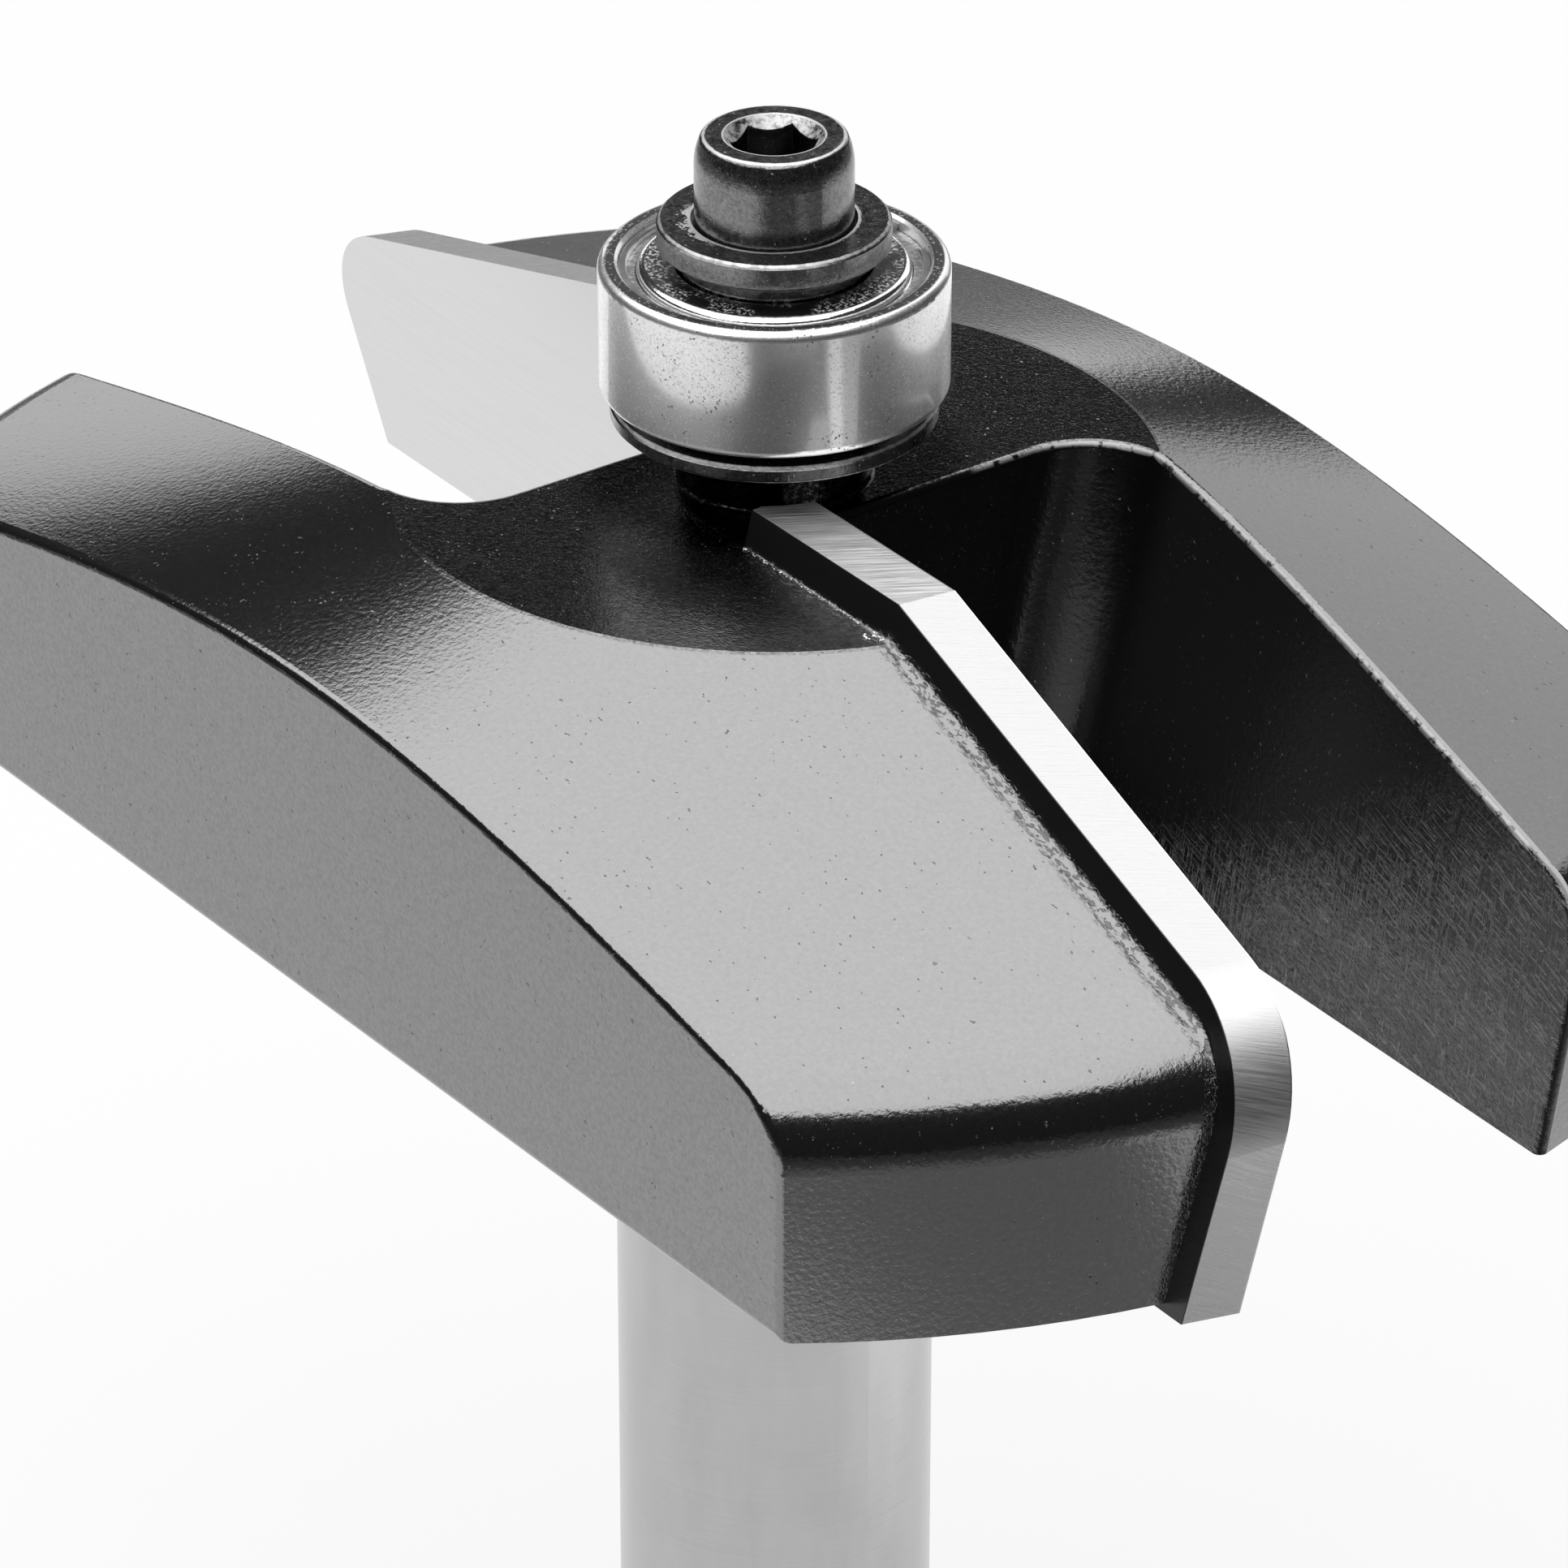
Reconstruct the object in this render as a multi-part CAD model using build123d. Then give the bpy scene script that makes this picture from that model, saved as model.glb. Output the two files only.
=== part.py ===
from build123d import *

import os
from math import cos, radians, sin, sqrt, tan

# A panel-raising router bit with a ball bearing guide, in millimetres.
# The origin is the centre of the shank's end face. +Z runs up the axis to the
# bearing, and +X along one of the two wings. Seen from the bearing the cutter
# turns counter-clockwise, so the cutting face of the +X wing looks towards +Y.
# Everything about one wing is repeated on the other by half a turn about Z.

# Shank and turned cutter head
SHANK_D = 12.0
SHANK_LENGTH = 40.0
SHANK_CHAMFER = 0.8
SHANK_ROOT_FILLET = 1.0
HEAD_D = 70.7
HEAD_THICKNESS = 14.9
HEAD_WIDTH = 41.5
HEAD_FLAT_D = 28.2
BEVEL_ANGLE = 16.2
RIM_FILLET = 3.0
LONG_EDGE_FILLET = 0.4
NECK_D = 7.0
NECK_HEIGHT = 2.4
NECK_ROOT_FILLET = 0.2

# Gullets: slots that lean forward as they rise, one ahead of each cutting face
LEAN_ANGLE = 14.0
GULLET_START = 4.2
GULLET_WALL_Y = 12.26
GULLET_WALL_YAW = 1.6
GULLET_CORNER_R = 3.4
GULLET_RUNOUT = 1.0
GULLET_EDGE_FILLET = 0.3

# Carbide tips, brazed to the seat at the back of each gullet
CUTTING_D = 73.0
TIP_THICKNESS = 2.0
TIP_FACE_Y = -2.3
TIP_YAW = 1.15
TIP_RISE = 1.5
TIP_DROP = 0.3
TIP_FLAT_D = 27.7
TIP_CORNER_R = 5.2
TIP_INNER_D = 11.3
TIP_RELIEF_ANGLE = 4.0
TIP_END_GAP = 0.08
BRAZE_THICKNESS = 0.1

# Guide bearing: a shielded miniature ball bearing of the 3/16 x 1/2 inch size
BEARING_D = 12.7
BEARING_BORE = 4.762
BEARING_WIDTH = 4.978
BEARING_CORNER_R = 0.36
BORE_CORNER_R = 0.25
BALL_D = 2.381
BALL_COUNT = 7
BALL_PITCH_D = 8.731
RACE_CONFORMITY = 0.52
RACE_CLEARANCE = 0.012
INNER_LAND_D = 7.01
OUTER_LAND_D = 10.5
CAGE_INNER_D = 7.9
CAGE_OUTER_D = 9.5
CAGE_FLOOR = 0.3
CAGE_FINGER_RISE = 0.45
CAGE_POCKET_CLEARANCE = 0.05

# Shields, held down in the outer ring's rebates by C-shaped snap rings
SHIELD_THICKNESS = 0.2
SHIELD_INSET = 0.12
SHIELD_STEP = 0.36
SHIELD_CROWN_D = 9.9
SHIELD_CROWN_R = 0.3
SHIELD_BORE = 7.24
REBATE_D = 11.24
REBATE_CHAMFER = 0.12
SNAP_WIDTH = 0.3
SNAP_HEIGHT = 0.24
SNAP_CHAMFER = 0.04
SNAP_GAP_ANGLE = 24.0
SNAP_GAP_AT = 79.0
SNAP_CLEARANCE = 0.02

# Pilot stub, washers and cap screw that hold the bearing
STUB_CLEARANCE = 0.015
STUB_SETBACK = 0.2
LOWER_WASHER_D = 11.9
LOWER_WASHER_THICKNESS = 0.65
LOWER_BOSS_HEIGHT = 0.47
UPPER_WASHER_D = 8.44
UPPER_WASHER_THICKNESS = 1.03
UPPER_BOSS_HEIGHT = 0.57
BOSS_D = 7.0
WASHER_CHAMFER = 0.14
COUNTERBORE_D = 6.0
COUNTERBORE_DEPTH = 0.28
SCREW_D = 3.5
SCREW_LENGTH = 12.0
SCREW_CHAMFER = 0.3
SCREW_HOLE_CLEARANCE = 0.1
THREAD_CLEARANCE = 0.03
TAPPED_DEPTH_SPARE = 1.5
SCREW_HEAD_D = 5.74
SCREW_HEAD_HEIGHT = 3.5
SCREW_SHOULDER_HEIGHT = 1.1
SCREW_SHOULDER_D = 5.2
SCREW_TOP_FILLET = 0.25
SOCKET_WIDTH = 2.78
SOCKET_DEPTH = 1.7
SOCKET_MOUTH_D = 3.66
SOCKET_MOUTH_ANGLE = 45.0
DRILL_POINT_ANGLE = 118.0

# Heights of the stack, from the shank's end up
HEAD_TOP = SHANK_LENGTH + HEAD_THICKNESS
NECK_TOP = HEAD_TOP + NECK_HEIGHT
BEARING_BOTTOM = NECK_TOP + LOWER_WASHER_THICKNESS + LOWER_BOSS_HEIGHT
BEARING_TOP = BEARING_BOTTOM + BEARING_WIDTH
BEARING_MIDDLE = BEARING_BOTTOM + BEARING_WIDTH / 2
STUB_TOP = BEARING_TOP - STUB_SETBACK
FLANGE_BOTTOM = BEARING_TOP + UPPER_BOSS_HEIGHT
FLANGE_TOP = FLANGE_BOTTOM + UPPER_WASHER_THICKNESS
SCREW_SEAT = FLANGE_TOP - COUNTERBORE_DEPTH
SCREW_END = SCREW_SEAT - SCREW_LENGTH
SCREW_TOP = SCREW_SEAT + SCREW_HEAD_HEIGHT

# Other worked-out sizes
BEVEL_SLOPE = tan(radians(BEVEL_ANGLE))
LEAN_SLOPE = tan(radians(LEAN_ANGLE))
STUB_R = BEARING_BORE / 2 - STUB_CLEARANCE
STUB_HOLE_R = BEARING_BORE / 2
RACE_R = RACE_CONFORMITY * BALL_D
POCKET_R = BALL_D / 2 + CAGE_POCKET_CLEARANCE
SHIELD_SEAT = SHIELD_INSET + SHIELD_STEP + SHIELD_THICKNESS
BEYOND = HEAD_D


def section(points, rounds=()):
    """A closed outline in (radius, height), with its corners at (radius, height, round) rounded."""
    outline = make_face(Polyline(*points, close=True))
    for r, z, size in rounds:
        corner = outline.vertices().sort_by_distance(Vector(r, z))[0]
        outline = fillet(corner, size)
    return outline


def turned(outline, arc=360):
    """The outline spun about Z."""
    return revolve(Plane.XZ * outline, Axis.Z, arc)


def half_turn(shape):
    """The same shape on the opposite wing."""
    return Rot(0, 0, 180) * shape


def drill_point(radius):
    """The height of the cone that a drill leaves."""
    return radius / tan(radians(DRILL_POINT_ANGLE / 2))


# The leaning planes of the cutting face, the tip's back and the seat


def blade_plane(depth):
    """The plane of the +X cutting face, or one this deep behind it, with its X running outwards."""
    yaw = radians(TIP_YAW)
    backwards = (-sin(yaw), -cos(yaw), cos(yaw) * LEAN_SLOPE)
    face = Plane((0, TIP_FACE_Y, HEAD_TOP), (cos(yaw), -sin(yaw), 0), backwards)
    return face.offset(depth)


def seat_plane():
    """The plane on the body that the +X tip is brazed to."""
    return blade_plane(TIP_THICKNESS + BRAZE_THICKNESS)


def point_at_height(plane, height):
    """The plane's local rise to this height, and the world point there on its Y axis."""
    rise = (height - plane.origin.Z) / plane.y_dir.Z
    return rise, plane.origin + plane.y_dir * rise


def at_radius(plane, radius, height):
    """Where the circle of this radius about Z, at this height, meets a blade plane."""
    rise, base = point_at_height(plane, height)
    along = base.X * plane.x_dir.X + base.Y * plane.x_dir.Y
    across_squared = base.X**2 + base.Y**2 - along**2
    return (sqrt(radius**2 - across_squared) - along, rise)


def at_x(plane, x, height):
    """Where the plane across X, at this height, meets a blade plane."""
    rise, base = point_at_height(plane, height)
    return ((x - base.X) / plane.x_dir.X, rise)


# Cutter body: shank, head, neck and pilot stub are one piece of steel


def rough_body():
    """The body as turned, cut to its width by the two long flats."""
    shank_r, head_r, neck_r = SHANK_D / 2, HEAD_D / 2, NECK_D / 2
    rim_z = HEAD_TOP - (head_r - HEAD_FLAT_D / 2) * BEVEL_SLOPE
    hole_r = SCREW_D / 2 + THREAD_CLEARANCE
    hole_bottom = SCREW_END - TAPPED_DEPTH_SPARE
    outline = section(
        [
            (0, 0),
            (shank_r - SHANK_CHAMFER, 0),
            (shank_r, SHANK_CHAMFER),
            (shank_r, SHANK_LENGTH),
            (head_r, SHANK_LENGTH),
            (head_r, rim_z),
            (HEAD_FLAT_D / 2, HEAD_TOP),
            (neck_r, HEAD_TOP),
            (neck_r, NECK_TOP),
            (STUB_R, NECK_TOP),
            (STUB_R, STUB_TOP),
            (hole_r, STUB_TOP),
            (hole_r, hole_bottom),
            (0, hole_bottom - drill_point(hole_r)),
        ],
        [
            (shank_r, SHANK_LENGTH, SHANK_ROOT_FILLET),
            (head_r, rim_z, RIM_FILLET),
            (neck_r, HEAD_TOP, NECK_ROOT_FILLET),
        ],
    )
    body = turned(outline) & Box(2 * BEYOND, HEAD_WIDTH, 4 * BEYOND)
    rims = body.edges().filter_by(
        lambda e: abs(abs(e.center().Y) - HEAD_WIDTH / 2) < 0.001
        and e.bounding_box().min.Z > SHANK_LENGTH
    )
    return fillet(rims, LONG_EDGE_FILLET)


def gullet():
    """The leaning slot from the +X tip's seat forward to the wall of the arm ahead."""
    floor = SHANK_LENGTH - GULLET_RUNOUT
    seat = seat_plane()
    seat_points = [seat.from_local_coords(at_x(seat, x, floor)) for x in (GULLET_START, BEYOND)]
    wall_y = GULLET_WALL_Y - (HEAD_TOP - floor) * LEAN_SLOPE
    wall_slope = tan(radians(GULLET_WALL_YAW))
    wall_points = [(x, wall_y - x * wall_slope) for x in (BEYOND, GULLET_START)]
    outline = make_face(
        Polyline(*[(point.X, point.Y) for point in seat_points], *wall_points, close=True)
    )
    inner_corner = outline.vertices().sort_by_distance(Vector(*wall_points[1]))[0]
    outline = fillet(inner_corner, GULLET_CORNER_R)
    return extrude(Pos(0, 0, floor) * outline, BEYOND, dir=(0, LEAN_SLOPE, 1))


def rim_edges(body, slot, turn):
    """A gullet's upper edges on the body, without those along its tip's seat."""
    seat = seat_plane()
    return [
        edge
        for edge in body.edges()
        if edge.bounding_box().min.Z > SHANK_LENGTH + HEAD_THICKNESS / 4
        and slot.distance_to(edge @ 0.5) < 0.001
        and abs(seat.to_local_coords((edge @ 0.5).rotate(Axis.Z, -turn)).Z) > 0.001
    ]


def cut_gullet(body, turn):
    """The body with one wing's gullet cut and its rim eased."""
    slot = Rot(0, 0, turn) * gullet()
    body = body - slot
    return fillet(rim_edges(body, slot, turn), GULLET_EDGE_FILLET)


def cutter_body():
    """The finished body, with a gullet ahead of each wing."""
    return cut_gullet(cut_gullet(rough_body(), 0), 180)


# Carbide tips and the braze behind them


def tip_outline(plane, relief):
    """The tip's outline on a blade plane, its cutting edges ground back by the relief."""
    top = HEAD_TOP + TIP_RISE - relief
    bottom = SHANK_LENGTH - TIP_DROP
    cut_r = CUTTING_D / 2 - relief
    flat_r = TIP_FLAT_D / 2
    corner = at_radius(plane, cut_r, top - (cut_r - flat_r) * BEVEL_SLOPE)
    start = GULLET_START + TIP_END_GAP
    outline = make_face(
        Polyline(
            at_x(plane, start, bottom),
            at_x(plane, start, top),
            at_radius(plane, flat_r, top),
            corner,
            at_radius(plane, cut_r, bottom),
            close=True,
        )
    )
    rounded = fillet(outline.vertices().sort_by_distance(Vector(*corner))[0], TIP_CORNER_R)
    return plane * rounded


def carbide_tip():
    """The +X tip: a plate between face and back, its inner end ground round the bearing stack."""
    relief = TIP_THICKNESS * tan(radians(TIP_RELIEF_ANGLE))
    face = tip_outline(blade_plane(0), 0)
    back = tip_outline(blade_plane(TIP_THICKNESS), relief)
    plate = loft([face, back], ruled=True)
    ground = Pos(0, 0, HEAD_TOP + TIP_RISE) * Cylinder(TIP_INNER_D / 2, 2 * TIP_RISE)
    return plate - ground


def braze_seam():
    """The layer of braze between the +X tip's back and the seat, flush with the body."""
    seat = seat_plane()
    sheet = seat * Pos(0, 0, -BRAZE_THICKNESS / 2) * Box(2 * BEYOND, 2 * BEYOND, BRAZE_THICKNESS)
    block = Box(2 * BEYOND, 2 * BEYOND, 2 * BEYOND)
    wing = Pos(GULLET_START + BEYOND, 0, SHANK_LENGTH + BEYOND) * block
    return sheet & wing & rough_body()


# Guide bearing


def race_groove(contact_r, centre_side):
    """The section of a ball groove whose bottom clears the balls at this radius."""
    bottom_r = contact_r - centre_side * RACE_CLEARANCE
    return Pos(bottom_r + centre_side * RACE_R, BEARING_MIDDLE) * Circle(RACE_R)


def inner_ring():
    """The inner ring, with its groove round the outside."""
    bore_r, land_r = BEARING_BORE / 2, INNER_LAND_D / 2
    outline = section(
        [
            (bore_r, BEARING_BOTTOM),
            (land_r, BEARING_BOTTOM),
            (land_r, BEARING_TOP),
            (bore_r, BEARING_TOP),
        ],
        [(bore_r, z, BORE_CORNER_R) for z in (BEARING_BOTTOM, BEARING_TOP)],
    )
    return turned(outline - race_groove((BALL_PITCH_D - BALL_D) / 2, 1))


def mirrored(points):
    """The (radius, height) points of the bearing's upper half, and their images below."""
    return points + [(r, 2 * BEARING_MIDDLE - z) for r, z in reversed(points)]


def outer_ring():
    """The outer ring, with its groove inside and a rebate for a shield at each end."""
    outer_r, rebate_r, land_r = BEARING_D / 2, REBATE_D / 2, OUTER_LAND_D / 2
    shield_seat = BEARING_TOP - SHIELD_SEAT
    points = mirrored(
        [
            (land_r, shield_seat),
            (rebate_r, shield_seat),
            (rebate_r, BEARING_TOP - REBATE_CHAMFER),
            (rebate_r + REBATE_CHAMFER, BEARING_TOP),
            (outer_r, BEARING_TOP),
        ]
    )
    rounds = [(outer_r, z, BEARING_CORNER_R) for z in (BEARING_BOTTOM, BEARING_TOP)]
    outline = section(points, rounds)
    return turned(outline - race_groove((BALL_PITCH_D + BALL_D) / 2, -1))


def ball_places():
    """The places of the balls' centres, evenly spaced round the pitch circle."""
    return Pos(0, 0, BEARING_MIDDLE) * PolarLocations(BALL_PITCH_D / 2, BALL_COUNT)


def cage():
    """A crown cage: a ring under the balls, with a pocket that snaps round each."""
    floor = BEARING_MIDDLE - POCKET_R - CAGE_FLOOR
    rim = BEARING_MIDDLE + CAGE_FINGER_RISE
    ring = turned(
        section(
            [
                (CAGE_INNER_D / 2, floor),
                (CAGE_OUTER_D / 2, floor),
                (CAGE_OUTER_D / 2, rim),
                (CAGE_INNER_D / 2, rim),
            ]
        )
    )
    for place in ball_places():
        ring -= place * Sphere(POCKET_R)
    return ring


def shield():
    """The upper shield: a pressed sheet disc with a flange in the rebate and a raised crown."""
    top = BEARING_TOP - SHIELD_INSET
    seat = BEARING_TOP - SHIELD_SEAT
    crown_r = SHIELD_CROWN_D / 2
    flange_r = REBATE_D / 2 - SNAP_CLEARANCE
    sheet = SHIELD_THICKNESS
    outline = section(
        [
            (SHIELD_BORE / 2, top - sheet),
            (crown_r - sheet, top - sheet),
            (crown_r - sheet, seat),
            (flange_r, seat),
            (flange_r, seat + sheet),
            (crown_r, seat + sheet),
            (crown_r, top),
            (SHIELD_BORE / 2, top),
        ],
        [(crown_r, top, SHIELD_CROWN_R)],
    )
    return turned(outline)


def snap_ring():
    """The upper snap ring: a C of wire in the rebate, on the shield's flange."""
    outer_r = REBATE_D / 2 - SNAP_CLEARANCE
    bottom = BEARING_TOP - SHIELD_SEAT + SHIELD_THICKNESS
    inner_r, top = outer_r - SNAP_WIDTH, bottom + SNAP_HEIGHT
    wire = section([(inner_r, bottom), (outer_r, bottom), (outer_r, top), (inner_r, top)])
    wire = chamfer(wire.vertices(), SNAP_CHAMFER)
    turn = SNAP_GAP_AT + SNAP_GAP_ANGLE / 2
    return Rot(0, 0, turn) * turned(wire, 360 - SNAP_GAP_ANGLE)


def underside(shape):
    """The same piece at the bearing's lower face."""
    return Pos(0, 0, 2 * BEARING_MIDDLE) * Rot(180, 0, 0) * shape


# Washers and cap screw


def lower_washer():
    """The wide dust washer on the neck, with the boss that carries the inner ring."""
    washer_r, boss_r, seat = LOWER_WASHER_D / 2, BOSS_D / 2, NECK_TOP
    top = seat + LOWER_WASHER_THICKNESS
    outline = section(
        [
            (STUB_HOLE_R, seat),
            (washer_r - WASHER_CHAMFER, seat),
            (washer_r, seat + WASHER_CHAMFER),
            (washer_r, top - WASHER_CHAMFER),
            (washer_r - WASHER_CHAMFER, top),
            (boss_r, top),
            (boss_r, BEARING_BOTTOM),
            (STUB_HOLE_R, BEARING_BOTTOM),
        ]
    )
    return turned(outline)


def upper_washer():
    """The flanged washer on the inner ring, counterbored for the screw's head."""
    flange_r, boss_r = UPPER_WASHER_D / 2, BOSS_D / 2
    hole_r, seat_r = SCREW_D / 2 + SCREW_HOLE_CLEARANCE, COUNTERBORE_D / 2
    outline = section(
        [
            (hole_r, BEARING_TOP),
            (boss_r, BEARING_TOP),
            (boss_r, FLANGE_BOTTOM),
            (flange_r - WASHER_CHAMFER, FLANGE_BOTTOM),
            (flange_r, FLANGE_BOTTOM + WASHER_CHAMFER),
            (flange_r, FLANGE_TOP - WASHER_CHAMFER),
            (flange_r - WASHER_CHAMFER, FLANGE_TOP),
            (seat_r, FLANGE_TOP),
            (seat_r, SCREW_SEAT),
            (hole_r, SCREW_SEAT),
        ]
    )
    return turned(outline)


def socket():
    """The hexagon socket, with its countersunk mouth and the drill's point below it."""
    floor = SCREW_TOP - SOCKET_DEPTH
    hexagon = RegularPolygon(SOCKET_WIDTH / 2, 6, major_radius=False)
    mouth_r = SOCKET_MOUTH_D / 2
    mouth_depth = mouth_r * tan(radians(SOCKET_MOUTH_ANGLE))
    mouth = [(0, SCREW_TOP - mouth_depth), (mouth_r, SCREW_TOP), (0, SCREW_TOP)]
    point_r = SOCKET_WIDTH / 2
    point = [(0, floor), (point_r, floor), (0, floor - drill_point(point_r))]
    well = extrude(Pos(0, 0, floor) * hexagon, SOCKET_DEPTH)
    return well + turned(section(mouth)) + turned(section(point))


def cap_screw():
    """The socket head cap screw, its head's shoulder rounded in towards the top."""
    head_r, screw_r = SCREW_HEAD_D / 2, SCREW_D / 2
    rim = (SCREW_SHOULDER_D / 2, SCREW_TOP)
    side = Polyline(
        (0, SCREW_TOP),
        (0, SCREW_END),
        (screw_r - SCREW_CHAMFER, SCREW_END),
        (screw_r, SCREW_END + SCREW_CHAMFER),
        (screw_r, SCREW_SEAT),
        (head_r, SCREW_SEAT),
        (head_r, SCREW_TOP - SCREW_SHOULDER_HEIGHT),
    )
    shoulder = TangentArc(side @ 1, rim, tangent=(0, 1))
    outline = make_face(side + shoulder + Line(rim, (0, SCREW_TOP)))
    outline = fillet(outline.vertices().sort_by_distance(Vector(*rim))[0], SCREW_TOP_FILLET)
    return turned(outline) - socket()


def all_parts():
    """Every piece of the router bit under its name."""
    tip, seam = carbide_tip(), braze_seam()
    upper_shield, upper_snap = shield(), snap_ring()
    parts = {
        "cutter_body": cutter_body(),
        "carbide_tip_1": tip,
        "carbide_tip_2": half_turn(tip),
        "braze_seam_1": seam,
        "braze_seam_2": half_turn(seam),
        "lower_washer": lower_washer(),
        "bearing_inner_ring": inner_ring(),
        "bearing_outer_ring": outer_ring(),
        "bearing_cage": cage(),
        "upper_shield": upper_shield,
        "lower_shield": underside(upper_shield),
        "upper_snap_ring": upper_snap,
        "lower_snap_ring": underside(upper_snap),
        "upper_washer": upper_washer(),
        "cap_screw": cap_screw(),
    }
    for number, place in enumerate(ball_places(), start=1):
        parts[f"bearing_ball_{number}"] = place * Sphere(BALL_D / 2)
    return parts


os.makedirs("parts", exist_ok=True)
for name, shape in all_parts().items():
    export_step(shape, f"parts/{name}.step")
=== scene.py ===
"""The looks of a panel-raising router bit: coated head, ground carbide, steel guide bearing.

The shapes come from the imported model. This script gives each of them its finish, adds the braze that
ran out along the foot of each carbide tip, and sets the studio and the camera.
"""

from __future__ import annotations

import logging
import math
import random
from dataclasses import dataclass
from enum import Enum
from typing import Sequence, Union

import bmesh
import bpy
from mathutils import Matrix, Vector


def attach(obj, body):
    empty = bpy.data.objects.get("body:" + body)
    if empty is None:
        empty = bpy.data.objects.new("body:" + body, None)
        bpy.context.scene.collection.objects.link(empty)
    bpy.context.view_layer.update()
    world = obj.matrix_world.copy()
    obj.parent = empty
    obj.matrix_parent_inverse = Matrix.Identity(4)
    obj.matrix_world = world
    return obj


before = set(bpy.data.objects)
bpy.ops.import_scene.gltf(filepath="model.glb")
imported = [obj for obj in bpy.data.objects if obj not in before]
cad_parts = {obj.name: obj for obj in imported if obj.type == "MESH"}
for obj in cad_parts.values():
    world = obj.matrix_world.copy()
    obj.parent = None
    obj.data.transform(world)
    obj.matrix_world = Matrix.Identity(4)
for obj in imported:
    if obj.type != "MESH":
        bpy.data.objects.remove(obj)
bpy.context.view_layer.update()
MM = 0.001
POLISH_ROUGHNESS = 0.10
POLISH_IOR = 4.0

log = logging.getLogger("router_bit")


# Shared geometry of the head, in millimetres


@dataclass(frozen=True)
class HeadShape:
    """Where the head's surfaces lie, for finishes that follow them."""

    shank_length: float = 40.0
    head_top: float = 54.9
    flat_radius: float = 14.1
    head_radius: float = 35.35
    half_width: float = 20.75
    bevel_slope: float = math.tan(math.radians(16.2))
    rim_round: float = 3.0
    lean_slope: float = math.tan(math.radians(14.0))
    tip_yaw: float = math.radians(1.15)
    tip_face_y: float = -2.3
    tip_thickness: float = 2.0
    gullet_start: float = 4.2
    wall_y: float = 12.26
    wall_slope: float = math.tan(math.radians(1.6))

    def backwards(self) -> Vector:
        """The direction from the +X cutting face into its tip."""
        yaw = self.tip_yaw
        return Vector((-math.sin(yaw), -math.cos(yaw), math.cos(yaw) * self.lean_slope)).normalized()

    def foot_width(self) -> float:
        """How far the tip reaches across the wing, from its cutting face to the foot of its back."""
        return self.tip_thickness * math.hypot(1.0, self.lean_slope) / math.cos(self.tip_yaw)

    def top_height(self, radius: float) -> float:
        """The height of the head's top at a distance from the axis.

        Args:
            radius: The distance from the axis.

        Returns:
            The height of the flat, the bevel or the rounded rim there.
        """
        if radius < self.flat_radius:
            return self.head_top
        centre = self.head_radius - self.rim_round
        slant = math.hypot(1.0, self.bevel_slope)
        if radius < centre + self.rim_round * self.bevel_slope / slant:
            return self.head_top - (radius - self.flat_radius) * self.bevel_slope
        lift = self.head_top - (centre - self.flat_radius) * self.bevel_slope - self.rim_round * slant
        return lift + math.sqrt(max(0.0, self.rim_round**2 - (radius - centre) ** 2))


SHAPE = HeadShape()


# The material bench


class Field:
    """A number that varies over a surface, held as the output of a node."""

    def __init__(self, bench: "Bench", socket: bpy.types.NodeSocket) -> None:
        """Keep the bench that the number belongs to and the socket that gives it."""
        self.bench = bench
        self.socket = socket

    def __add__(self, other: "Number") -> "Field":
        """The sum of both."""
        return self.bench.math("ADD", self, other)

    def __radd__(self, other: "Number") -> "Field":
        """The sum of both."""
        return self.bench.math("ADD", other, self)

    def __sub__(self, other: "Number") -> "Field":
        """The difference of both."""
        return self.bench.math("SUBTRACT", self, other)

    def __rsub__(self, other: "Number") -> "Field":
        """The difference of both."""
        return self.bench.math("SUBTRACT", other, self)

    def __mul__(self, other: "Number") -> "Field":
        """The product of both."""
        return self.bench.math("MULTIPLY", self, other)

    def __rmul__(self, other: "Number") -> "Field":
        """The product of both."""
        return self.bench.math("MULTIPLY", other, self)

    def __truediv__(self, other: "Number") -> "Field":
        """The quotient of both."""
        return self.bench.math("DIVIDE", self, other)

    def __pow__(self, power: float) -> "Field":
        """This to a power."""
        return self.bench.math("POWER", self, power)

    def __abs__(self) -> "Field":
        """The size of this without its sign."""
        return self.bench.math("ABSOLUTE", self)

    def sign(self) -> "Field":
        """Minus one, nought or one."""
        return self.bench.math("SIGN", self)

    def larger(self, other: "Number") -> "Field":
        """The larger of both."""
        return self.bench.math("MAXIMUM", self, other)

    def ramp(self, low: float, high: float, start: float = 0.0, end: float = 1.0) -> "Field":
        """Rise smoothly between two values.

        Args:
            low: Where the rise starts.
            high: Where it ends, which may lie below low for a fall.
            start: The result at low and before it.
            end: The result at high and past it.

        Returns:
            The smoothed result.
        """
        node = self.bench.node("ShaderNodeMapRange", interpolation_type="SMOOTHSTEP")
        if high < low:
            low, high, start, end = high, low, end, start
        for name, value in zip(("From Min", "From Max", "To Min", "To Max"), (low, high, start, end)):
            node.inputs[name].default_value = value
        self.bench.feed(node.inputs["Value"], self)
        return Field(self.bench, node.outputs["Result"])

    def near(self, target: "Number", width: float) -> "Field":
        """One at a value, falling to nought at a distance from it.

        Args:
            target: The value to be near.
            width: The distance at which nothing is left.

        Returns:
            The nearness, from nought to one.
        """
        return abs(self - target).ramp(width, 0.0)


Number = Union[float, Field]


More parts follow.
